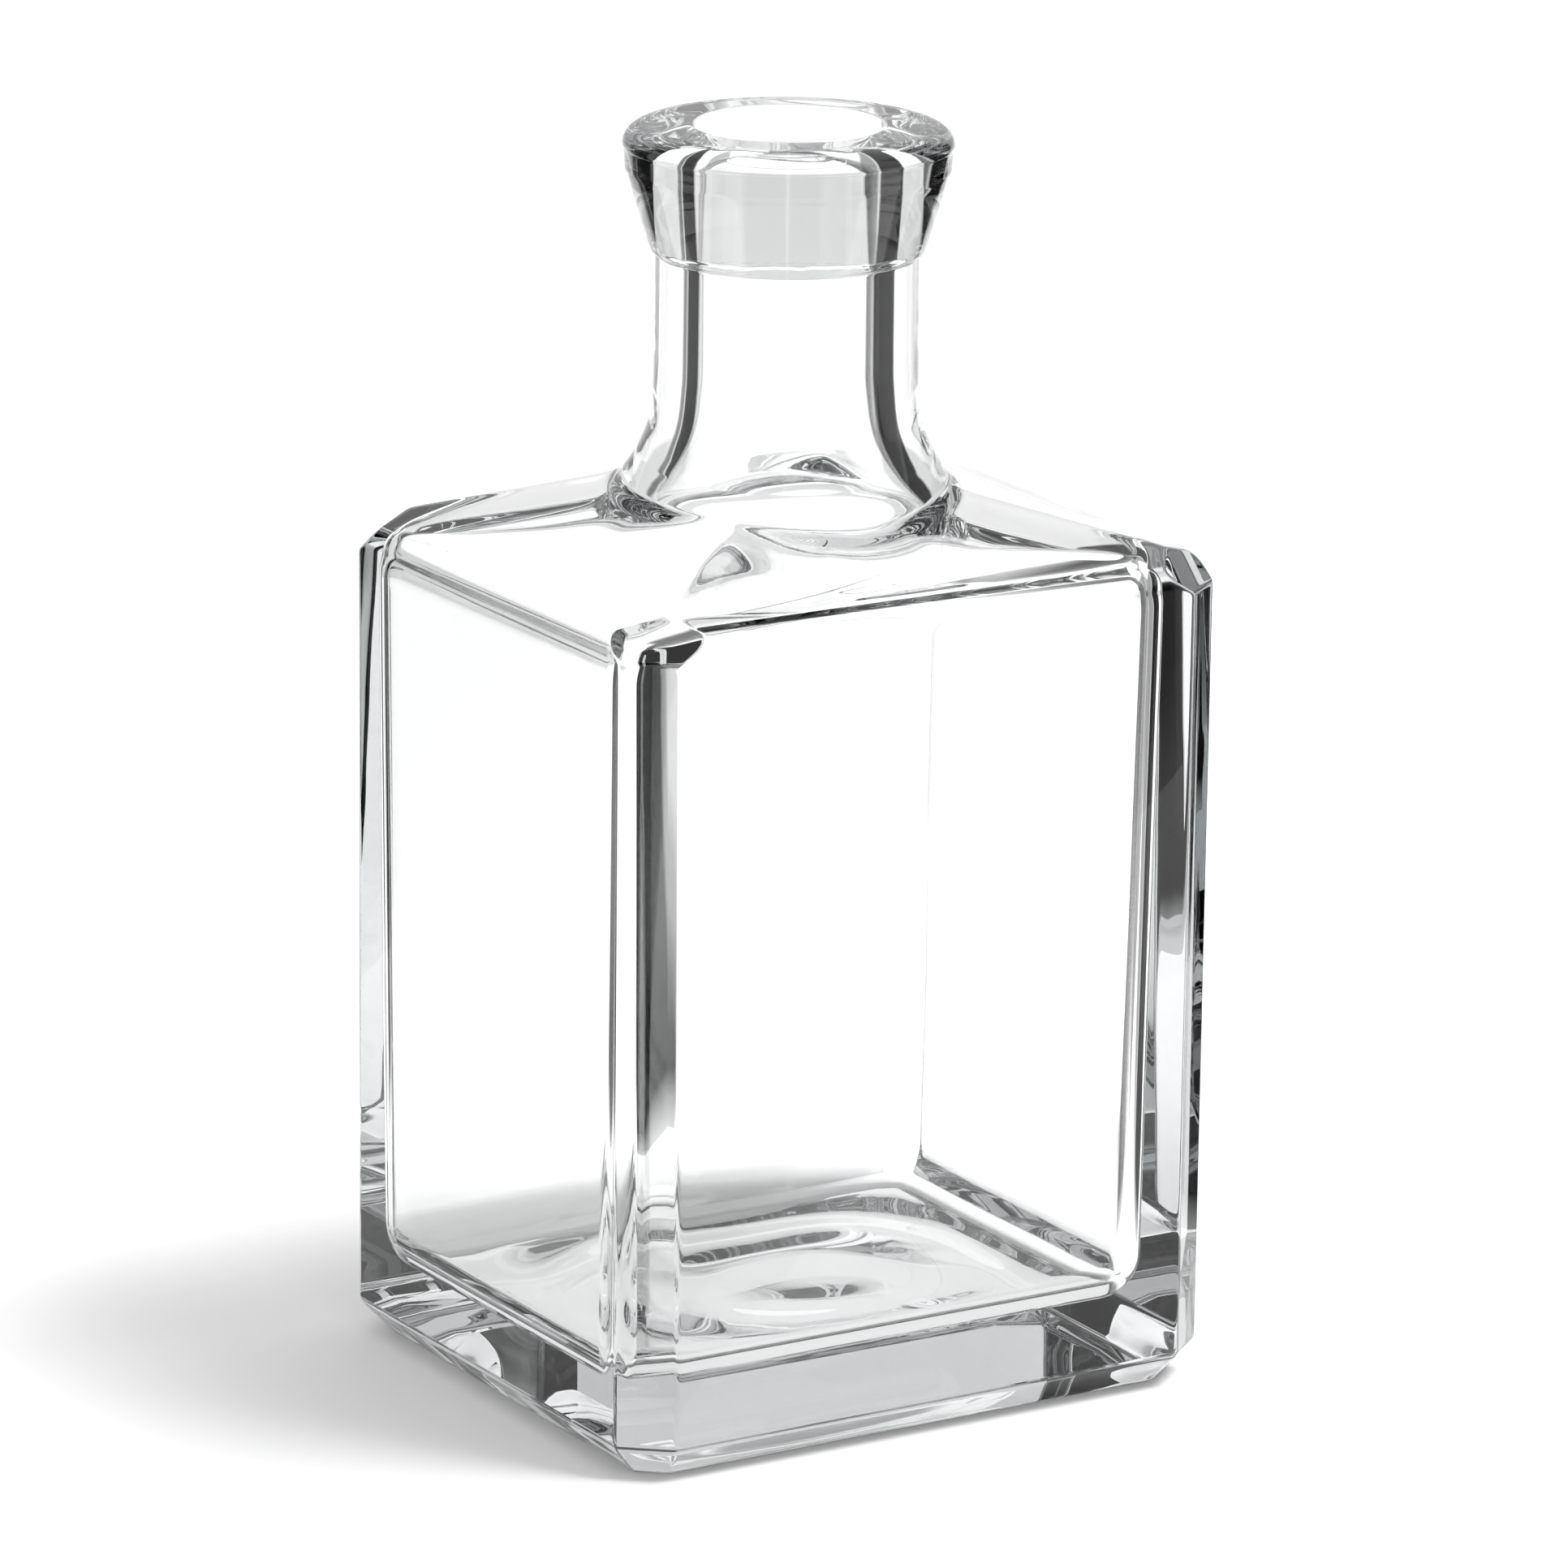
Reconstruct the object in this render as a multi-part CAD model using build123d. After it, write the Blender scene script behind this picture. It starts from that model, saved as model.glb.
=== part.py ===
from build123d import *
import math
import os

# Square-shouldered decanter moulded in clear glass, with a flared mouth ring.
# Millimetres, +Z up, origin at the centre of the face the decanter stands on.

# driving sizes
THROAT_R = 9.25  # takes an 18.5 mm bar-top cork
NECK_R = 14.0
BODY_X, BODY_Y = 73.0, 64.0
CORNER_X, CORNER_Y = 5.1, 4.2  # legs of the flat cut down each upright corner
FOOT_IN, FOOT_UP = 3.3, 3.7  # bevel round the foot
EAVE_Z = 90.9  # where wall and shoulder planes would meet if the edge were sharp
EAVE_R = 2.4  # rounding of that edge
PEAK_RISE = 11.3  # climb of the shoulder planes from the eaves to the axis
FACET_Z, FACET_SLOPE = 88.5, 44.0  # slanting cut at each shoulder corner, degrees above level
FLARE_Z, FLARE_R = 107.6, 14.2  # where the neck starts to spread into the shoulder
FLARE_LINE = ((14.68, 104.1), (16.25, 100.5), (18.4, 97.7))  # the spread's line, as radius and height
FLARE_TAIL_R, FLARE_TAIL_Z, FLARE_TAIL_SLOPE = 21.5, 95.1, 0.6
FLARE_RUN = 6.0  # the spread carries on this far into the shoulder
NECK_SEAT_Z = 88.0  # the neck's column starts here, inside the body

OVERRUN = 12.0  # shapes used to trim or cut carry on this far past the part

BASE_T = 9.2  # glass under the hollow
WALL_FOOT, WALL_TOP = 5.6, 4.4  # the side walls thin towards the shoulder
HOLLOW_CORNER_R = 6.5
HOLLOW_FLOOR_R = 4.5
HOLLOW_EAVE_R = 5.0
ROOF_T = 4.4  # glass over the hollow, measured upright
THROAT_FOOT_R = 4.0  # rounding where the hollow runs up into the throat
THROAT_FOOT_UP, THROAT_FOOT_DOWN, THROAT_FOOT_SLOPE = 3.2, 1.8, 0.25  # above and below the hollow's roof

RING_Z = 122.8  # underside of the mouth ring
RING_FOOT_R, RING_EDGE_R, RING_EDGE_UP = 14.63, 14.97, 1.3  # undercut band at the ring's foot
RING_FOOT_EDGE_IN, RING_FOOT_EDGE_UP = 0.25, 0.3  # small bevel under that band
CONE_TOP_R, CONE_TOP_Z = 17.3, 131.6
LIP_R, LIP_Z = 17.6, 134.1  # widest point, where the mould line runs
MOULD_STEP = 0.12
LIP_LEAN = 0.12  # the lip leans in by this much per millimetre just under the mould line
RIM_Z, RIM_FLAT_R = 136.3, 14.5
MOUTH_ROUND = 1.3  # rounding from the rim down into the throat

os.makedirs("parts", exist_ok=True)


def save(shape, name):
    export_step(shape, f"parts/{name}.step")


def gable(half, low, eave, slope, eave_r, run, along_y):
    """Prism with a house-front end view: upright walls, sloping roof, rounded eaves."""
    peak = eave + half * slope
    front = Polygon((-half, low), (half, low), (half, eave), (0, peak), (-half, eave), align=None)
    front = fillet(front.vertices().filter_by(lambda v: abs(v.Y - eave) < 1e-6), eave_r)
    plane = Plane.XZ if along_y else Plane.YZ
    return extrude(plane * front, run / 2, both=True)


def eight_sided(inset):
    """Plan of the body: a rectangle with a flat across each corner, all sides moved in by inset."""
    hx, hy = BODY_X / 2, BODY_Y / 2
    plan = Polygon(
        (hx, hy - CORNER_Y), (hx - CORNER_X, hy), (-hx + CORNER_X, hy), (-hx, hy - CORNER_Y),
        (-hx, -hy + CORNER_Y), (-hx + CORNER_X, -hy), (hx - CORNER_X, -hy), (hx, -hy + CORNER_Y),
        align=None,
    )
    return plan if inset == 0 else offset(plan, -inset, kind=Kind.INTERSECTION)


def body_block():
    """The solid outside shape of the body, before hollowing and without the neck."""
    foot_angle = math.degrees(math.atan2(FOOT_IN, FOOT_UP))
    foot = extrude(eight_sided(FOOT_IN), FOOT_UP, taper=-foot_angle)
    upright = extrude(Plane.XY.offset(FOOT_UP) * eight_sided(0), EAVE_Z + PEAK_RISE)
    slope_x, slope_y = PEAK_RISE / (BODY_X / 2), PEAK_RISE / (BODY_Y / 2)
    block = (foot + upright) & gable(BODY_X / 2, -OVERRUN, EAVE_Z, slope_x, EAVE_R, BODY_Y + OVERRUN, True)
    block = block & gable(BODY_Y / 2, -OVERRUN, EAVE_Z, slope_y, EAVE_R, BODY_X + OVERRUN, False)
    tilt = math.radians(FACET_SLOPE)
    across = math.hypot(CORNER_X, CORNER_Y)
    for sx in (1, -1):
        for sy in (1, -1):
            out = Vector(sx * CORNER_Y / across, sy * CORNER_X / across, 0)
            middle = (sx * (BODY_X - CORNER_X) / 2, sy * (BODY_Y - CORNER_Y) / 2, FACET_Z)
            normal = out * math.sin(tilt) + Vector(0, 0, math.cos(tilt))
            block = split(block, bisect_by=Plane(origin=middle, z_dir=normal), keep=Keep.BOTTOM)
    return block


def neck_column():
    """Neck with the flare that runs out onto the shoulder, solid, up to the mouth ring."""
    toe = (FLARE_TAIL_R + FLARE_RUN, FLARE_TAIL_Z - FLARE_RUN * FLARE_TAIL_SLOPE)
    with BuildPart() as part:
        with BuildSketch(Plane.XZ):
            with BuildLine():
                Polyline(toe, (toe[0], NECK_SEAT_Z), (0, NECK_SEAT_Z), (0, RING_Z), (NECK_R, RING_Z))
                Line((NECK_R, RING_Z), (FLARE_R, FLARE_Z))
                Spline(
                    (FLARE_R, FLARE_Z), *FLARE_LINE, (FLARE_TAIL_R, FLARE_TAIL_Z),
                    tangents=((FLARE_R - NECK_R, FLARE_Z - RING_Z), (1, -FLARE_TAIL_SLOPE)),
                )
                Line((FLARE_TAIL_R, FLARE_TAIL_Z), toe)
            make_face()
        revolve(axis=Axis.Z)
    return part.part


def hollow():
    """The space inside: body cavity with rounded corners, and the throat above it."""
    low_x, low_y = BODY_X - 2 * WALL_FOOT, BODY_Y - 2 * WALL_FOOT
    rise = EAVE_Z - BASE_T
    taper = math.degrees(math.atan2(WALL_FOOT - WALL_TOP, rise))
    cavity = extrude(
        Plane.XY.offset(BASE_T) * RectangleRounded(low_x, low_y, HOLLOW_CORNER_R),
        rise + OVERRUN, taper=-taper,
    )
    cavity = fillet(cavity.edges().filter_by(lambda e: abs(e.center().Z - BASE_T) < 1e-6), HOLLOW_FLOOR_R)
    for size, run, along_y in ((BODY_X, BODY_Y, True), (BODY_Y, BODY_X, False)):
        slope = PEAK_RISE / (size / 2)
        eave = EAVE_Z - ROOF_T + slope * WALL_TOP
        cavity = cavity & gable(size / 2 - WALL_TOP, 0, eave, slope, HOLLOW_EAVE_R, run, along_y)
    throat = Pos(0, 0, EAVE_Z) * Cylinder(THROAT_R, RIM_Z, align=(Align.CENTER, Align.CENTER, Align.MIN))
    roof_z = EAVE_Z - ROOF_T + PEAK_RISE * (1 - THROAT_R / (BODY_X / 2))
    foot_r = THROAT_R + THROAT_FOOT_R
    with BuildPart() as bell:
        with BuildSketch(Plane.XZ):
            with BuildLine():
                top = (THROAT_R, roof_z + THROAT_FOOT_UP)
                toe = (foot_r, roof_z - THROAT_FOOT_DOWN)
                Polyline(toe, (foot_r, roof_z - OVERRUN), (0, roof_z - OVERRUN), (0, top[1]), top)
                Spline(top, toe, tangents=((0, -1), (1, -THROAT_FOOT_SLOPE)))
            make_face()
        revolve(axis=Axis.Z)
    return cavity + throat + bell.part


def lip_collar():
    """Mouth ring: undercut foot, flared cone, mould line at the widest point, rounded rim."""
    cone = Vector(CONE_TOP_R - RING_EDGE_R, CONE_TOP_Z - RING_Z - RING_EDGE_UP).normalized()
    with BuildPart() as part:
        with BuildSketch(Plane.XZ):
            with BuildLine():
                Polyline(
                    (THROAT_R, RIM_Z - MOUTH_ROUND), (THROAT_R, RING_Z), (RING_FOOT_R - RING_FOOT_EDGE_IN, RING_Z),
                    (RING_FOOT_R, RING_Z + RING_FOOT_EDGE_UP), (RING_EDGE_R, RING_Z + RING_EDGE_UP),
                    (CONE_TOP_R, CONE_TOP_Z),
                )
                Spline(
                    (CONE_TOP_R, CONE_TOP_Z), (LIP_R - MOULD_STEP, LIP_Z),
                    tangents=((cone.X, cone.Y), (-LIP_LEAN, 1)),
                )
                Line((LIP_R - MOULD_STEP, LIP_Z), (LIP_R, LIP_Z))
                Spline((LIP_R, LIP_Z), (RIM_FLAT_R, RIM_Z), tangents=((0, 1), (-1, 0)))
                Line((RIM_FLAT_R, RIM_Z), (THROAT_R + MOUTH_ROUND, RIM_Z))
                RadiusArc((THROAT_R + MOUTH_ROUND, RIM_Z), (THROAT_R, RIM_Z - MOUTH_ROUND), -MOUTH_ROUND)
            make_face()
        revolve(axis=Axis.Z)
    return part.part


save((body_block() + neck_column()) - hollow(), "vessel")
save(lip_collar(), "lip_collar")
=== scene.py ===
import bpy
import math
import numpy as np
from mathutils import Matrix, Vector


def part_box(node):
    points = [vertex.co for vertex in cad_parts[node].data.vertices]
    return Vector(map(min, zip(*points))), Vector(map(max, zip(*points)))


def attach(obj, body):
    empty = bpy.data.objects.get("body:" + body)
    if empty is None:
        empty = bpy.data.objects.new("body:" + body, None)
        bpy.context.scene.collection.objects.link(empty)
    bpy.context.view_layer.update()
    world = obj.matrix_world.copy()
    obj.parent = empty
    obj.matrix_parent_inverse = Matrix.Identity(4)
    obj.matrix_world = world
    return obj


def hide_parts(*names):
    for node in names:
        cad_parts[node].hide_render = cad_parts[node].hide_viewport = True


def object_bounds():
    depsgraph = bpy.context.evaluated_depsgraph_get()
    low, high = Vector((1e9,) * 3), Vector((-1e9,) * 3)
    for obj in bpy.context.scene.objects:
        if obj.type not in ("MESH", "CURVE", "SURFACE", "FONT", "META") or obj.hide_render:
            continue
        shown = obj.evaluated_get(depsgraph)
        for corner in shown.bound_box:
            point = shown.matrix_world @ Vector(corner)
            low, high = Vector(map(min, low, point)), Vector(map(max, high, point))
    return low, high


# A clear glass decanter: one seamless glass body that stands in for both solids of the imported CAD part.
# It stands on a white floor, lit as for a bright-field product photograph.
# The glass is laid out ring by ring in millimetres about the Z axis, then scaled to metres.
# The camera, lights and cards are in metres.

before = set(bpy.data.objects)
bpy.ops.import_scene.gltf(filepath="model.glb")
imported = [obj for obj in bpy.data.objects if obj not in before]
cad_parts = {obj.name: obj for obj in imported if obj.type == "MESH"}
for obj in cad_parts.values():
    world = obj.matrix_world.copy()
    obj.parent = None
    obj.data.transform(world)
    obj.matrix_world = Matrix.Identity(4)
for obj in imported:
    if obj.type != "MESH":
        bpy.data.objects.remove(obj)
CAD_LOW, CAD_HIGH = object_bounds()
MM = 0.001

# Outside of the body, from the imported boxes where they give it. Points of a line are (radius, height).
BODY_X = (CAD_HIGH.x - CAD_LOW.x) / MM
BODY_Y = (CAD_HIGH.y - CAD_LOW.y) / MM
RIM_Z = CAD_HIGH.z / MM
RING_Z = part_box("lip_collar")[0].z / MM
LIP_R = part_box("lip_collar")[1].x / MM
SKIN = 0.02  # the glass stays this far inside the CAD box
CORNER_X, CORNER_Y = 5.1, 4.2  # legs of the flat cut down each upright corner
FOOT_IN, FOOT_UP = 3.3, 3.7  # bevel round the foot
FOOT_ROUND = 0.3  # rounding from the bevel to the underside
BEVEL_SOFT = 0.25  # rounding from the bevel to the wall
EAVE_Z, EAVE_R = 90.9, 2.4  # wall and shoulder meet here, rounded
PEAK_RISE = 11.3  # how far the shoulder would climb from the eaves to the axis
FACET_Z, FACET_SLOPE, FACET_R = 88.5, 44.0, 0.8  # slanting cut at each shoulder corner, degrees above level
FLARE = [(27.5, 91.5), (21.5, 95.1), (18.4, 97.7), (16.25, 100.5), (14.68, 104.1), (14.2, 107.6),
         (14.08, 112.0), (14.02, 117.0), (14.0, 122.8)]
RING = [(14.38, 122.8), (14.63, 123.1), (14.97, 124.1), (16.2, 128.1), (17.3, 131.6)]
LIP_Z, LIP_STEP = 134.1, 0.12  # widest point of the mouth ring, and the step of its mould line
CROWN_UP, CROWN_OUT = 1.5, 1.6  # how full the mouth ring's crown is above its widest point and beside the rim
RIM_FLAT_R, MOUTH_ROUND = 14.5, 1.3
RIM_STEPS = (13.8, 12.8, 11.8, 11.0)  # radii of the rings across the flat rim

# How crisp the outside's edges are, and how they fade on the shoulder
CRISP, LEAST_CRISP, FADE = 500, 25, 3.0
CRISP_ON_NECK = 30
FADE_Z = EAVE_Z + 0.5
FLARE_BLEND = 2.0
SMALLEST = 2  # the shoulder's planes come no nearer the axis than this

# Inside of the body. The glass settled unevenly, so walls and corners differ.
# A pair holds the value at the foot and the value at the eaves.
THROAT_R = 9.25
BASE_T, ROOF_T = 9.2, 2.4
WALL_RIGHT, WALL_LEFT, WALL_BACK, WALL_FRONT = (5.6, 4.7), (3.0, 2.4), (5.9, 5.0), (7.7, 7.1)
HOLLOW_CORNERS = [(4.5, 4.5), (4.8, 4.4), (2.2, 1.6), (5.8, 5.3)]  # radii in the quarters from +X+Y on
THIN_FROM, THIN_SLOPE = 6.8, 0.085  # the front wall thins from here towards its left corner
HOLLOW_FLOOR_R, HOLLOW_EAVE_R = 4.5, 5.5
SMALLEST_HALF, SMALLEST_CORNER, CORNER_ROOM = 3, 0.6, 0.01
THROAT_LINE = [(THROAT_R, 134.6), (THROAT_R, 112.0), (9.35, 108.0), (9.75, 104.4), (10.7, 101.2),
               (12.5, 98.0), (15.2, 94.8), (19.5, 91.8), (25.0, 89.6)]
THROAT_BLEND = 1.0
HOLLOW_ROUND_FROM, HOLLOW_ROUND_OVER = 88, 7.0  # the hollow turns from square to round over this height

# Unevenness of the glass
THROAT_WAVE, THROAT_SEED = 0.03, 3
HOLLOW_WAVE, HOLLOW_SEED = 0.08, 11
JAG_Z, JAG_DEEP, JAG_TALL, JAG_WANDER, JAG_SEED = 123.4, 0.10, 0.22, 0.12, 5  # uneven ring inside the throat
JAG_WAVES = (2, 5, 9, 14, 23, 31, 40)
RIPPLE, RIPPLE_TURNS, RIPPLE_POWER = 0.8, 13.0, 2.6  # rings in the floor of the hollow
RIPPLE_MIDDLE, RIPPLE_REACH = (1.5, -1.0), (33.0, 28.0)
SWELL, SWELL_X, SWELL_Y = 0.2, 4.1, 5.3

# Points round a quarter of a ring: on half a face, at an edge, and between a corner's two edges
FACE_N, EDGE_N, CUT_N = 13, 6, 10
FACE_CROWD, EDGE_ROOM = 1.8, 1.3  # how strongly they crowd towards the edges, and the least room there
OUTER_SPREAD, NECK_SPREAD, INNER_SPREAD = 0.011, 0.05, 0.01

# Where the rings go: from, to and how many. They are heights, apart from the first two lines.
UNDERSIDE = (0.04, 1, 14)  # shares of the underside's outline
BEVEL_STEPS = (0.03, 0.07, 0.12, 0.2, 0.4, 0.6, 0.8, 0.9, 0.94, 0.97, 1.0, 1.03, 1.06, 1.1)  # of FOOT_UP
WALL_ZONES = [(FOOT_UP * 1.15, 12, 5), (15, 84, 16), (86, 87.8, 4), (88.0, 91.4, 26)]
SHOULDER_ZONE, NECK_ROUND_FROM, NECK_ROUND_OVER = (91.5, 99, 48), 92.5, 6.0
NECK_ZONES = [(99.3, 108, 22), (109.5, RING_Z - 0.5, 8), (RING_Z - 0.1, RING_Z - 0.1, 1)]
THROAT_ZONES = [(134.6, 125, 12), (124.4, 122.2, 23), (121, 99, 22)]
HOLLOW_ZONES = [(98.5, 92, 40), (91.8, 82, 40), (80, BASE_T + HOLLOW_FLOOR_R, 40)]
FLOOR_TURN_N, FLOOR_N = 14, 40
FLARE_STEPS, THROAT_STEPS, BAND_STEPS, LIP_STEPS, CROWN_N, MOUTH_N = 24, 16, 5, 8, 16, 10

HX, HY = BODY_X / 2 - SKIN, BODY_Y / 2 - SKIN
SLOPE_X, SLOPE_Y = PEAK_RISE / HX, PEAK_RISE / HY
ACROSS = math.hypot(CORNER_X, CORNER_Y)
OUT_X, OUT_Y = CORNER_Y / ACROSS, CORNER_X / ACROSS
CUT_D = OUT_X * (HX - CORNER_X / 2) + OUT_Y * (HY - CORNER_Y / 2)

# Glass
GLASS_IOR = 1.52
CORD_SCALE, CORD_DEEP = 60, 0.00003
TINT = (0.988, 0.994, 0.996, 1)  # where the cords tint the glass most
DEPTH_COLOUR, DEPTH_DENSITY = (0.50, 0.52, 0.53, 1), 10  # long ways through the glass come out greyer

# Camera
LOOK, LOOK_DOWN, TILT = 31.36, 15.34, 0.66  # degrees to the right of +Y, below level, and rolled
AIM = (0.00092, 0.00094, 0.06386)
DISTANCE, LENS, SENSOR = 0.95415, 203.76, 36
CLIP = (0.05, 50)

# Stage
FLOOR_HALF, FLOOR_WHITE = 6.0, 0.95
PAPER = 0.85  # brightness of the surroundings
CARD_IN, CARD_OUT, CARD_UP, CARD_LIFT = 0.050, 0.6, 0.8, 0.0004
SOFT_EDGE, SOFT_START = 3.0, 1.25  # a card fades in from PAPER over these degrees and this ratio of radii
CARD_STEP = 1.5
CARDS = [  # from and to, in degrees to the right of the view, and how bright
    (30.5, 72, 0.002), (72, 95, 0.4), (112, 180, 0.04),
    (-49, -39, 0.2), (-70, -47, 0.002), (-113, -84, 0.6), (-180, -129, 0.04),
]
# Ways the decanter is looked at, in degrees to the right of the view, and the half-width kept clear there
VIEWS = [(0, 0.047), (-31.4, 0.036), (-76.4, 0.032), (-121.4, 0.047), (103.6, 0.050)]
LEAST_TURN, FARTHEST_START = 0.1, 0.6  # sine of the turn, and a share of CARD_OUT
TABLE_X, TABLE_Y, TABLE_Z, TABLE_GLOW = 0.031, 0.027, 0.00001, 0.9
LAMP_TURN, LAMP_OUT, LAMP_UP = 100, 1.1, 2.0  # degrees to the right of the view
LAMP_SIZE, LAMP_POWER = (1.0, 0.8), 42
BOUNCES, GLOSSY_BOUNCES = 24, 16


def turn_in(z, z0, slope, r):
    """How far inwards an upright wall has moved at height z, where it turns at z0 to run in by slope."""
    phi = math.atan(slope)
    start = z0 - r * math.tan(phi / 2)
    if z <= start:
        return 0.0
    if z >= start + r * math.sin(phi):
        return (z - z0) * slope
    return r - math.sqrt(r * r - (z - start) ** 2)


def smooth_max(a, b, k):
    """The larger of a and b, blended where they are within k of each other."""
    h = np.clip(0.5 + 0.5 * (a - b) / k, 0, 1)
    return a * h + b * (1 - h) + k * h * (1 - h)


def ease(t):
    """From 0 to 1 as t does, starting and ending softly."""
    t = min(max(t, 0), 1)
    return t * t * (3 - 2 * t)


def heights(zones):
    """All the heights of zones that each give from, to and how many."""
    return np.concatenate([np.linspace(*zone) for zone in zones])


def curve(points, steps):
    """Smooth line through (r, z) points, steps pieces between each two."""
    p = np.array([points[0]] + list(points) + [points[-1]], float)
    p[0] = 2 * p[1] - p[2]
    p[-1] = 2 * p[-2] - p[-3]
    out = []
    for i in range(1, len(p) - 2):
        t = np.linspace(0, 1, steps, endpoint=False)[:, None]
        a, b = (p[i + 1] - p[i - 1]) / 2, (p[i + 2] - p[i]) / 2
        out.append((2 * t**3 - 3 * t**2 + 1) * p[i] + (t**3 - 2 * t**2 + t) * a
                   + (3 * t**2 - 2 * t**3) * p[i + 1] + (t**3 - t**2) * b)
    return np.vstack(out + [p[-2][None]])


def quarter(theta_a, theta_b, spread):
    """Angles from 0 to 90 degrees, crowded round the two edges of a corner at theta_a and theta_b."""
    mid = (theta_a + theta_b) / 2
    theta_a, theta_b = min(theta_a, mid - EDGE_ROOM * spread), max(theta_b, mid + EDGE_ROOM * spread)
    s = 1 - (1 - np.arange(FACE_N) / FACE_N) ** FACE_CROWD
    first = s * (theta_a - spread)
    last = math.pi / 2 - np.append(s, 1)[:0:-1] * (math.pi / 2 - theta_b - spread)
    edge_a = np.linspace(theta_a - spread, theta_a + spread, EDGE_N, endpoint=False)
    flat = np.linspace(theta_a + spread, theta_b - spread, CUT_N, endpoint=False)
    edge_b = np.linspace(theta_b - spread, theta_b + spread, EDGE_N, endpoint=False)
    return np.concatenate([first, edge_a, flat, edge_b, last])


def all_round(*quarters):
    """A whole turn from one quarter or four, every second one mirrored so that the corners line up."""
    parts = []
    for i, q in enumerate(quarters if len(quarters) == 4 else quarters * 4):
        full = np.append(q, math.pi / 2)
        if i % 2:
            full = math.pi / 2 - full[::-1]
        parts.append(i * math.pi / 2 + full[:-1])
    return np.concatenate(parts)


def even_angles():
    """As many angles as any other ring has, evenly spread."""
    n = 2 * FACE_N + 2 * EDGE_N + CUT_N
    return all_round(np.arange(n) * (math.pi / 2) / n)


def eight_sided(theta, hx, hy, cut, crisp):
    """Distance from the axis to an eight-sided outline with softened edges."""
    c, s = np.abs(np.cos(theta)), np.abs(np.sin(theta))
    v = np.stack([c / hx, s / hy, (OUT_X * c + OUT_Y * s) / cut])
    m = v.max(0)
    return 1 / (m * (1 + np.log(np.exp(crisp * (v / m - 1)).sum(0)) / crisp))


def edge_angles(hx, hy, cut):
    """Where the flat cut meets the two faces, as angles in the first quarter."""
    if cut >= OUT_X * hx + OUT_Y * hy:
        t = math.atan2(hy, hx)
        return t, t
    return math.atan2((cut - OUT_X * hx) / OUT_Y, hx), math.atan2(hy, (cut - OUT_Y * hy) / OUT_X)


def rounded_box(theta, hx, hy, r):
    """Distance from the axis to a rectangle with corner radius r."""
    c, s = np.maximum(np.abs(np.cos(theta)), 1e-9), np.maximum(np.abs(np.sin(theta)), 1e-9)
    flat = np.minimum(hx / c, hy / s)
    ax, ay = hx - r, hy - r
    along = ax * c + ay * s
    across = ax * ax + ay * ay - r * r
    arc = along + np.sqrt(np.maximum(along**2 - across, 0))
    in_corner = (flat * c > ax) & (flat * s > ay)
    return np.where(in_corner, arc, flat)


EVEN = even_angles()
FLARE_CURVE = curve(FLARE, FLARE_STEPS)
THROAT_CURVE = curve(THROAT_LINE, THROAT_STEPS)


def flare_r(z):
    """Outside radius of the neck and its foot at height z."""
    return float(np.interp(z, FLARE_CURVE[:, 1], FLARE_CURVE[:, 0]))


def throat_r(z):
    """Inside radius of the throat and its foot at height z, where the line runs downwards."""
    return float(np.interp(-z, -THROAT_CURVE[:, 1], THROAT_CURVE[:, 0]))


def wander(theta, z, seed):
    """Slow unevenness of blown glass, from -1 to 1."""
    rng = np.random.default_rng(seed)
    total = np.zeros_like(theta)
    for k in range(5):
        a, b, c = rng.uniform(0, 6.28, 3)
        total += np.sin((k + 1) * theta + a + 1.5 * np.sin(z / 17 + b)) * np.sin(z / (9 + 5 * k) + c) / 5
    return total


def ring(theta, r, z):
    """Points at the angles theta, the distances r from the axis and the height z."""
    return np.stack([r * np.cos(theta), r * np.sin(theta), np.broadcast_to(z, r.shape)], 1)


def round_ring(r, z):
    """A circle of radius r at height z."""
    return ring(EVEN, np.full_like(EVEN, r), z)


def outer_ring(z, inset=0.0, even=0.0):
    """The outside at height z, drawn in by inset; even goes from 0, with edges, to 1, round like the neck."""
    hx = HX - inset - turn_in(z, EAVE_Z, 1 / SLOPE_X, EAVE_R)
    hy = HY - inset - turn_in(z, EAVE_Z, 1 / SLOPE_Y, EAVE_R)
    cut = CUT_D - inset - turn_in(z, FACET_Z, 1 / math.tan(math.radians(FACET_SLOPE)), FACET_R)
    hx, hy, cut = max(hx, SMALLEST), max(hy, SMALLEST), max(cut, SMALLEST)
    angles = all_round(quarter(*edge_angles(hx, hy, cut), OUTER_SPREAD + NECK_SPREAD * even))
    angles = angles * (1 - even) + EVEN * even
    crisp = CRISP * (1 - even) ** 3 + CRISP_ON_NECK
    if z > FADE_Z:
        crisp = min(crisp, CRISP / (1 + FADE * (z - FADE_Z)))
    r = eight_sided(angles, hx, hy, cut, max(crisp, LEAST_CRISP))
    if z > FADE_Z:
        r = smooth_max(r, np.full_like(r, flare_r(z)), FLARE_BLEND)
    return ring(angles, r, z)


def foot_rings():
    """The underside from its middle outwards, then the bevelled foot."""
    theta = all_round(quarter(*edge_angles(HX - FOOT_IN, HY - FOOT_IN, CUT_D - FOOT_IN), INNER_SPREAD))
    inset = FOOT_IN + FOOT_ROUND
    edge = eight_sided(theta, HX - inset, HY - inset, CUT_D - inset, CRISP)
    rings = [ring(theta, edge * s, SKIN) for s in np.linspace(*UNDERSIDE)]
    for t in BEVEL_STEPS:
        z = t * FOOT_UP
        bevel = BEVEL_SOFT * math.log1p(math.exp((FOOT_UP - z) / BEVEL_SOFT)) * FOOT_IN / FOOT_UP
        bottom = FOOT_ROUND * math.exp(-z / (FOOT_ROUND / 2))
        rings.append(outer_ring(z + SKIN, bevel + bottom))
    return rings


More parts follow.
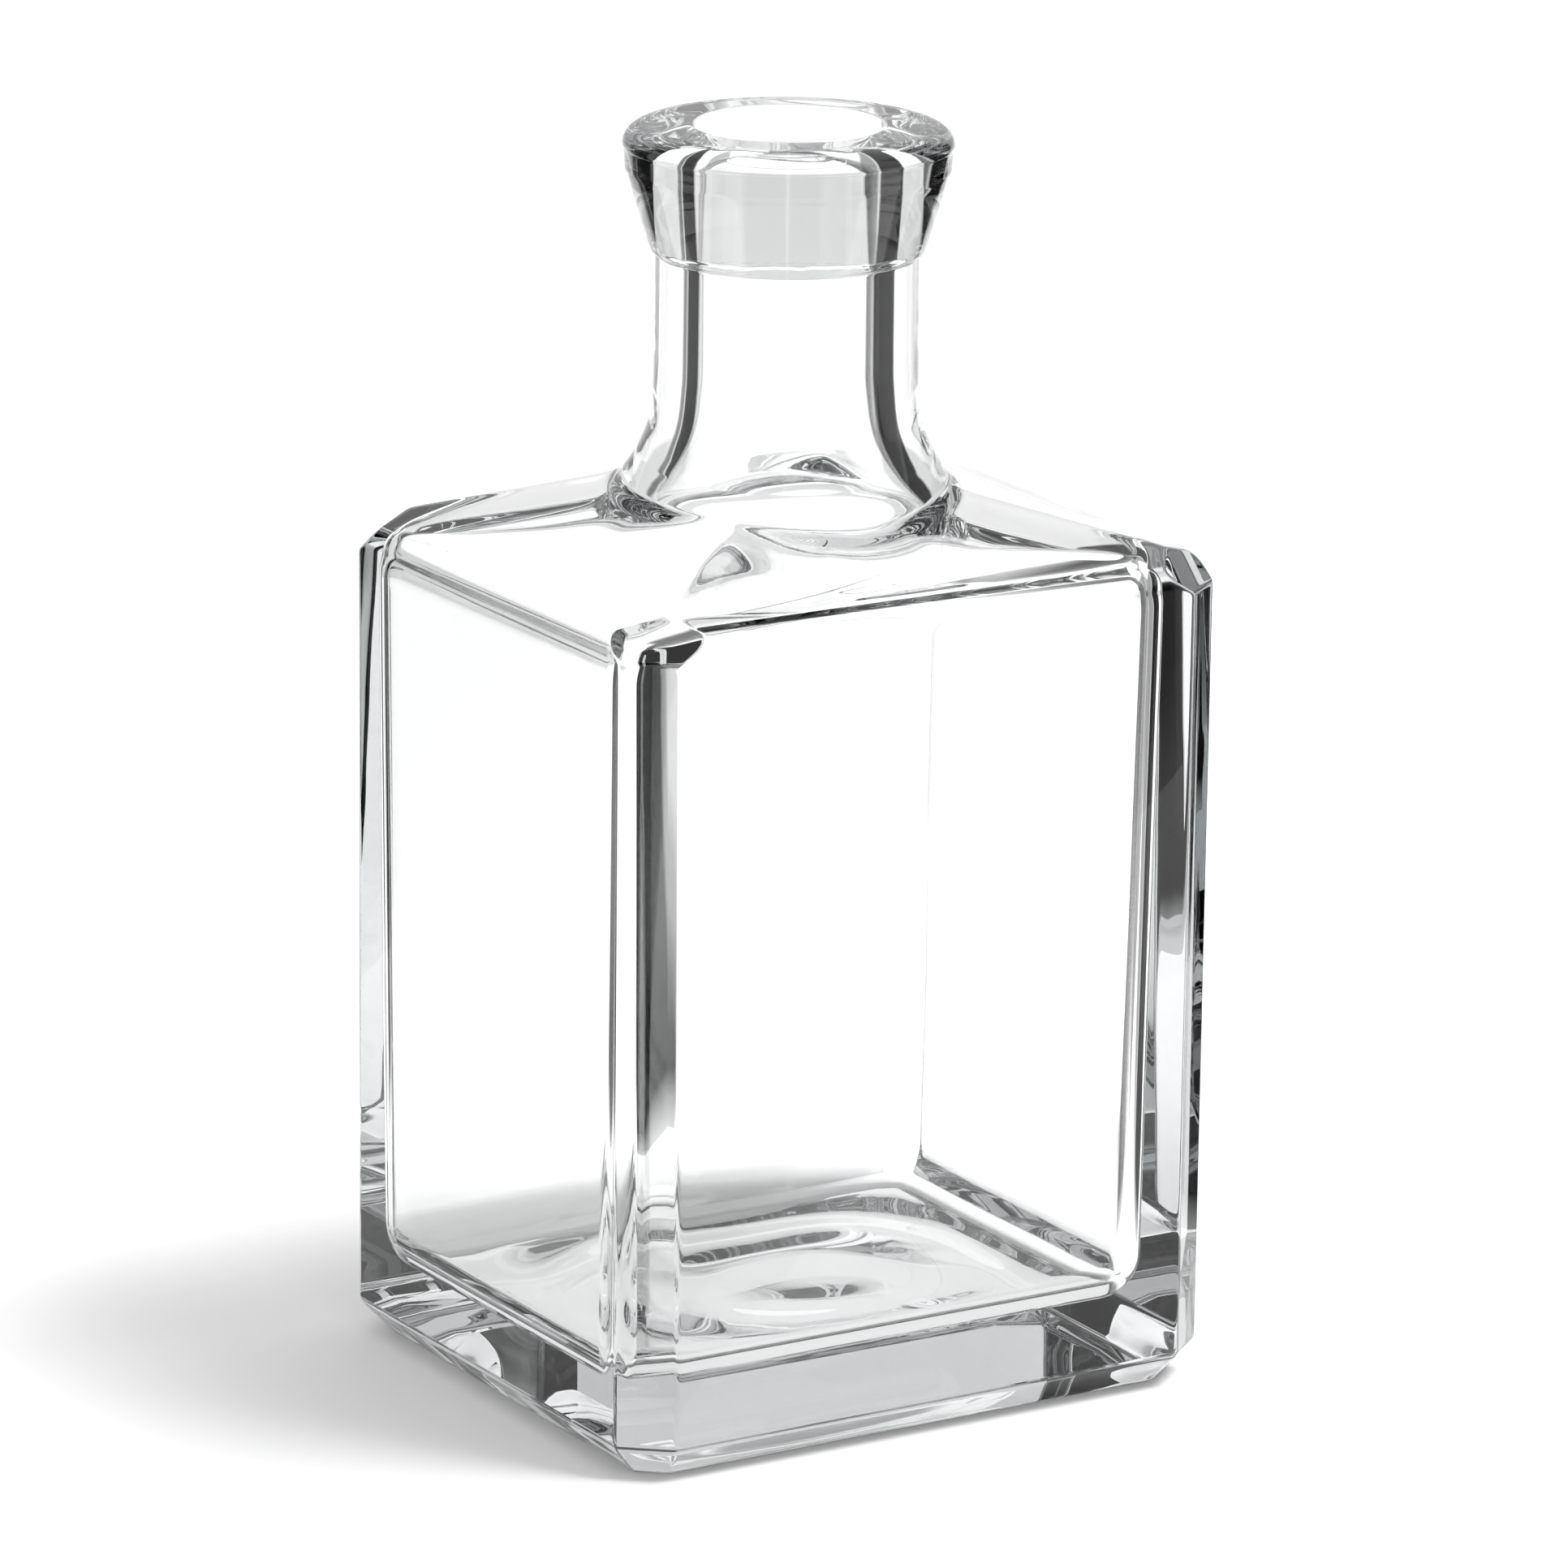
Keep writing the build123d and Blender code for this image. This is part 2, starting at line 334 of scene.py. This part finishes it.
def wall_rings():
    """The walls and the eaves, then the shoulder as it turns round."""
    rings = [outer_ring(z) for z in heights(WALL_ZONES)]
    for z in np.linspace(*SHOULDER_ZONE):
        rings.append(outer_ring(z, 0.0, ease((z - NECK_ROUND_FROM) / NECK_ROUND_OVER)))
    return rings


def neck_rings():
    """The round neck up to the mouth ring."""
    return [round_ring(flare_r(z), z) for z in heights(NECK_ZONES)]


def crown():
    """Line from the widest point of the mouth ring over to the flat rim."""
    t = np.linspace(0, 1, CROWN_N)[:, None]
    low, high = np.array([LIP_R - SKIN, LIP_Z]), np.array([RIM_FLAT_R, RIM_Z - SKIN])
    over, beside = low + (0, CROWN_UP), high + (CROWN_OUT, 0)
    return (1 - t) ** 3 * low + 3 * (1 - t) ** 2 * t * over + 3 * (1 - t) * t**2 * beside + t**3 * high


def lip_rings():
    """The mouth ring: undercut band, cone, crown, flat rim, and the rounding down into the throat."""
    band = curve(RING[:3], BAND_STEPS)
    cone = curve(RING[2:], LIP_STEPS)[1:]
    top = curve([RING[-1], (LIP_R - LIP_STEP - SKIN, LIP_Z)], LIP_STEPS)[1:]
    flat = [(r, RIM_Z - SKIN) for r in (*RIM_STEPS, THROAT_R + MOUTH_ROUND)]
    turn = [(THROAT_R + MOUTH_ROUND * (1 - math.sin(a)), RIM_Z - SKIN - MOUTH_ROUND * (1 - math.cos(a)))
            for a in np.linspace(0, math.pi / 2, MOUTH_N)[1:]]
    return [round_ring(r, z) for r, z in np.vstack([band, cone, top, crown(), flat, turn])]


def throat_rings():
    """The throat, with the uneven ring where the mouth ring joins the neck."""
    rng = np.random.default_rng(JAG_SEED)
    step = sum(np.sin(EVEN * k + rng.uniform(0, 6.28)) / k**0.5 for k in JAG_WAVES) * JAG_WANDER
    rings = []
    for z in heights(THROAT_ZONES):
        jag = JAG_DEEP * np.exp(-((z - JAG_Z - step) / JAG_TALL) ** 2)
        r = throat_r(z) - jag - THROAT_WAVE * wander(EVEN, z, THROAT_SEED)
        rings.append(ring(EVEN, r, z))
    return rings


def side_hollow(z, wall, half, slope, inset):
    """Half-width of the hollow on one side at height z."""
    foot, top = wall
    thick = foot + (top - foot) * (z - BASE_T) / (EAVE_Z - BASE_T)
    turn = turn_in(z, EAVE_Z - ROOF_T + slope * top, 1 / slope, HOLLOW_EAVE_R)
    return max(half - thick - inset - turn, SMALLEST_HALF)


def corner_radius(z, corner, inset, even, widest):
    """Corner radius of the hollow at height z, which grows to widest as even goes to 1."""
    foot, top = corner
    r = max(foot + (top - foot) * (z - BASE_T) / (EAVE_Z - BASE_T) - inset, SMALLEST_CORNER)
    return r + (widest - r) * even if widest > r else widest


def inner_ring(z, inset=0.0, even=0.0):
    """The hollow at height z, drawn in by inset. From 0 to 1, even turns it from square to round."""
    right, left = (side_hollow(z, w, HX, SLOPE_X, inset) for w in (WALL_RIGHT, WALL_LEFT))
    back, front = (side_hollow(z, w, HY, SLOPE_Y, inset) for w in (WALL_BACK, WALL_FRONT))
    quarters, sizes = [], []
    halves = ((right, back), (left, back), (left, front), (right, front))
    for (hx, hy), corner in zip(halves, HOLLOW_CORNERS):
        r = corner_radius(z, corner, inset, even, min(hx, hy) - CORNER_ROOM)
        a, b = math.atan2(hy - r, hx), math.atan2(hy, hx - r)
        quarters.append(quarter(a + INNER_SPREAD, b - INNER_SPREAD, INNER_SPREAD))
        sizes.append((hx, hy, r))
    angles = all_round(*quarters) * (1 - even) + EVEN * even
    hx, hy, r = (np.repeat(v, len(angles) // 4) for v in zip(*sizes))
    d = rounded_box(angles, hx, hy, r)
    if z > EAVE_Z - ROOF_T:
        d = smooth_max(d, np.full_like(d, throat_r(z)), THROAT_BLEND)
    d = d + HOLLOW_WAVE * wander(angles, z, HOLLOW_SEED)
    points = ring(angles, d, z)
    if even == 0:
        past = np.clip(THIN_FROM - (points[:, 0] + HX), 0, None)
        points[:, 1] -= THIN_SLOPE * past * (points[:, 1] < -0.5 * HY)
    return points


def hollow_rings():
    """The hollow from the throat down its walls, round to its floor, and in to the middle."""
    rings = []
    for z in heights(HOLLOW_ZONES):
        rings.append(inner_ring(z, 0.0, ease((z - HOLLOW_ROUND_FROM) / HOLLOW_ROUND_OVER)))
    for a in np.linspace(0, math.pi / 2, FLOOR_TURN_N)[1:]:
        z = BASE_T + HOLLOW_FLOOR_R * (1 - math.sin(a))
        rings.append(inner_ring(z, HOLLOW_FLOOR_R * (1 - math.cos(a))))
    edge = rings[-1]
    for s in 1 - np.linspace(0, 1, FLOOR_N)[1:-1]:
        p = edge * (s, s, 1)
        p[:, 2] = floor_z(p)
        rings.append(p)
    return rings


def floor_z(p):
    """Height of the floor of the hollow: nearly flat, with shallow rings left by the settling glass."""
    x, y = p[:, 0] - RIPPLE_MIDDLE[0], p[:, 1] - RIPPLE_MIDDLE[1]
    across = np.abs(x / RIPPLE_REACH[0]) ** RIPPLE_POWER + np.abs(y / RIPPLE_REACH[1]) ** RIPPLE_POWER
    d = across ** (1 / RIPPLE_POWER)
    fade = np.clip(1 - d**4, 0, 1)
    ripple = RIPPLE * fade * np.cos(d * RIPPLE_TURNS) * d
    return BASE_T + ripple + SWELL * fade * np.sin(x / SWELL_X + 1) * np.cos(y / SWELL_Y)


def area_normals(co, faces):
    """Vertex normals weighted by face area, so broad faces stay flat up to their edges."""
    quads = np.array([f if len(f) == 4 else (*f, f[2]) for f in faces])
    n = np.cross(co[quads[:, 2]] - co[quads[:, 0]], co[quads[:, 3]] - co[quads[:, 1]])
    total = np.zeros_like(co)
    for i in range(4):
        np.add.at(total, quads[:, i], n)
    return total / np.maximum(np.linalg.norm(total, axis=1, keepdims=True), 1e-20)


def glass_mesh(name, rings):
    """Closed mesh through the rings, with a point in the middle of the first and of the last."""
    n = len(rings[0])
    co = np.vstack(rings + [rings[0].mean(0)[None], rings[-1].mean(0)[None]]) * MM
    last, low, high = (len(rings) - 1) * n, len(co) - 2, len(co) - 1
    faces = []
    for a in range(0, last, n):
        b = a + n
        for j in range(n):
            k = (j + 1) % n
            faces.append((a + j, a + k, b + k, b + j))
    for j in range(n):
        k = (j + 1) % n
        faces.append((low, k, j))
        faces.append((last + j, last + k, high))
    mesh = bpy.data.meshes.new(name)
    mesh.from_pydata(co.tolist(), [], faces)
    mesh.update()
    mesh.shade_smooth()
    mesh.normals_split_custom_set_from_vertices(area_normals(co, faces).tolist())
    return mesh


def add_object(name, data):
    """A new object in the scene that shows data."""
    obj = bpy.data.objects.new(name, data)
    bpy.context.scene.collection.objects.link(obj)
    return obj


def new_material(name):
    """A new material with its nodes and its links."""
    mat = bpy.data.materials.new(name)
    mat.use_nodes = True
    return mat, mat.node_tree.nodes, mat.node_tree.links


def glass_material():
    """Clear glass, greyer where the light goes far through it, with faint cords in its tint and surface."""
    mat, nodes, links = new_material("clear_glass")
    shader = nodes["Principled BSDF"]
    shader.inputs["Transmission Weight"].default_value = 1
    shader.inputs["Roughness"].default_value = 0.0
    shader.inputs["IOR"].default_value = GLASS_IOR
    place = nodes.new("ShaderNodeTexCoord")
    cords = nodes.new("ShaderNodeTexNoise")
    cords.inputs["Scale"].default_value = CORD_SCALE
    cords.inputs["Detail"].default_value = 1
    links.new(place.outputs["Object"], cords.inputs["Vector"])
    tint = nodes.new("ShaderNodeValToRGB")
    tint.color_ramp.elements[0].color = TINT
    tint.color_ramp.elements[1].color = (1, 1, 1, 1)
    links.new(cords.outputs["Fac"], tint.inputs["Fac"])
    links.new(tint.outputs["Color"], shader.inputs["Base Color"])
    bump = nodes.new("ShaderNodeBump")
    bump.inputs["Strength"].default_value = 1.0
    bump.inputs["Distance"].default_value = CORD_DEEP
    links.new(cords.outputs["Fac"], bump.inputs["Height"])
    links.new(bump.outputs["Normal"], shader.inputs["Normal"])
    depth = nodes.new("ShaderNodeVolumeAbsorption")
    depth.inputs["Color"].default_value = DEPTH_COLOUR
    depth.inputs["Density"].default_value = DEPTH_DENSITY
    links.new(depth.outputs["Volume"], nodes["Material Output"].inputs["Volume"])
    return mat


def build_decanter():
    """The glass, from the underside up the outside, over the rim and down to the floor of the hollow."""
    rings = foot_rings() + wall_rings() + neck_rings() + lip_rings() + throat_rings() + hollow_rings()
    mesh = glass_mesh("decanter_glass", rings)
    obj = add_object("decanter_glass", mesh)
    mesh.materials.append(glass_material())
    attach(obj, "root")
    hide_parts("vessel", "lip_collar")


def build_floor():
    """The white floor."""
    s = FLOOR_HALF
    mesh = bpy.data.meshes.new("floor")
    mesh.from_pydata([(-s, -s, 0), (s, -s, 0), (s, s, 0), (-s, s, 0)], [], [(0, 1, 2, 3)])
    obj = add_object("floor", mesh)
    mat, nodes, _ = new_material("floor_white")
    shader = nodes["Principled BSDF"]
    shader.inputs["Base Color"].default_value = (FLOOR_WHITE, FLOOR_WHITE, FLOOR_WHITE, 1)
    shader.inputs["Roughness"].default_value = 1
    shader.inputs["Specular IOR Level"].default_value = 0
    mesh.materials.append(mat)


def glow_piece(name, co, faces, glow):
    """A shining piece of the stage, seen only in the glass, with its own brightness at each point."""
    mesh = bpy.data.meshes.new(name)
    mesh.from_pydata(co, [], faces)
    mesh.attributes.new("tone", "FLOAT", "POINT").data.foreach_set("value", glow)
    obj = add_object(name, mesh)
    mat, nodes, links = new_material(name)
    nodes.clear()
    tone = nodes.new("ShaderNodeAttribute")
    tone.attribute_name = "tone"
    light = nodes.new("ShaderNodeEmission")
    links.new(tone.outputs["Fac"], light.inputs["Strength"])
    out = nodes.new("ShaderNodeOutputMaterial")
    links.new(light.outputs[0], out.inputs["Surface"])
    mesh.materials.append(mat)
    obj.visible_camera = obj.visible_diffuse = obj.visible_shadow = False


def under_card():
    """Light table seen only through the base, where the floor would otherwise be in full shade."""
    co = [(x * TABLE_X, y * TABLE_Y, TABLE_Z) for x, y in ((-1, -1), (1, -1), (1, 1), (-1, 1))]
    glow_piece("card_under", co, [(0, 1, 2, 3)], [TABLE_GLOW] * 4)


def card_start(turn):
    """How near the decanter a card may begin, so that it isn't seen straight through the panes."""
    nearest = CARD_IN
    for view, half in VIEWS:
        off = math.radians(turn - view)
        if math.cos(off) > 0:
            nearest = max(nearest, half / max(abs(math.sin(off)), LEAST_TURN))
    return min(nearest, FARTHEST_START * CARD_OUT)


def card(name, start, end, shade):
    """A card that lies on the floor and then stands up, soft at its edges."""
    steps = max(4, round((end - start) / CARD_STEP))
    co, glow = [], []
    for i in range(steps + 1):
        turn = start + (end - start) * i / steps
        a = math.radians(90 - LOOK - turn)
        near = card_start(turn)
        edge = min(min(turn - start, end - turn) / SOFT_EDGE, 1)
        inner = edge * shade + (1 - edge) * PAPER
        line = ((near, CARD_LIFT), (near * SOFT_START, CARD_LIFT), (CARD_OUT, CARD_LIFT), (CARD_OUT, CARD_UP))
        co += [(r * math.cos(a), r * math.sin(a), z) for r, z in line]
        glow += [PAPER, inner, inner, inner]
    faces = []
    for i in range(steps):
        for k in (0, 1, 2):
            a, b = 4 * i + k, 4 * (i + 1) + k
            faces.append((a, b, b + 1, a + 1))
    glow_piece(name, co, faces, glow)


def build_lights():
    """The light table, the cards, and a softbox on the right that casts the shadow."""
    under_card()
    for i, (start, end, shade) in enumerate(CARDS):
        card(f"card_{i}", start, end, shade)
    light = bpy.data.lights.new("softbox", "AREA")
    light.shape = "RECTANGLE"
    light.size, light.size_y = LAMP_SIZE
    light.energy = LAMP_POWER
    obj = add_object("softbox", light)
    a = math.radians(90 - LOOK - LAMP_TURN)
    obj.location = (LAMP_OUT * math.cos(a), LAMP_OUT * math.sin(a), LAMP_UP)
    obj.rotation_euler = (-Vector(obj.location)).to_track_quat("-Z", "Y").to_euler()
    obj.visible_camera = obj.visible_glossy = obj.visible_transmission = False


def build_world():
    """White surroundings."""
    world = bpy.data.worlds.new("studio")
    world.use_nodes = True
    world.node_tree.nodes["Background"].inputs["Color"].default_value = (1, 1, 1, 1)
    world.node_tree.nodes["Background"].inputs["Strength"].default_value = PAPER
    bpy.context.scene.world = world


def build_camera():
    """The photograph's camera: back points from the aim to it, right and up lie in its picture."""
    azimuth, elevation, roll = (math.radians(v) for v in (-LOOK, LOOK_DOWN, TILT))
    level = math.cos(elevation)
    back = Vector((math.sin(azimuth) * level, -math.cos(azimuth) * level, math.sin(elevation)))
    right = Vector((math.cos(azimuth), math.sin(azimuth), 0))
    up = back.cross(right)
    r = math.cos(roll) * right + math.sin(roll) * up
    u = -math.sin(roll) * right + math.cos(roll) * up
    cam = add_object("camera", bpy.data.cameras.new("camera"))
    cam.data.sensor_width = SENSOR
    cam.data.lens = LENS
    cam.data.clip_start, cam.data.clip_end = CLIP
    turn = Matrix((r, u, back)).transposed().to_4x4()
    cam.matrix_world = Matrix.Translation(Vector(AIM) + back * DISTANCE) @ turn
    bpy.context.scene.camera = cam


def main():
    """The whole scene."""
    scene = bpy.context.scene
    scene.view_settings.view_transform = "Standard"
    scene.cycles.max_bounces = BOUNCES
    scene.cycles.transmission_bounces = BOUNCES
    scene.cycles.glossy_bounces = GLOSSY_BOUNCES
    scene.cycles.use_denoising = True
    build_decanter()
    build_floor()
    build_world()
    build_lights()
    build_camera()


main()
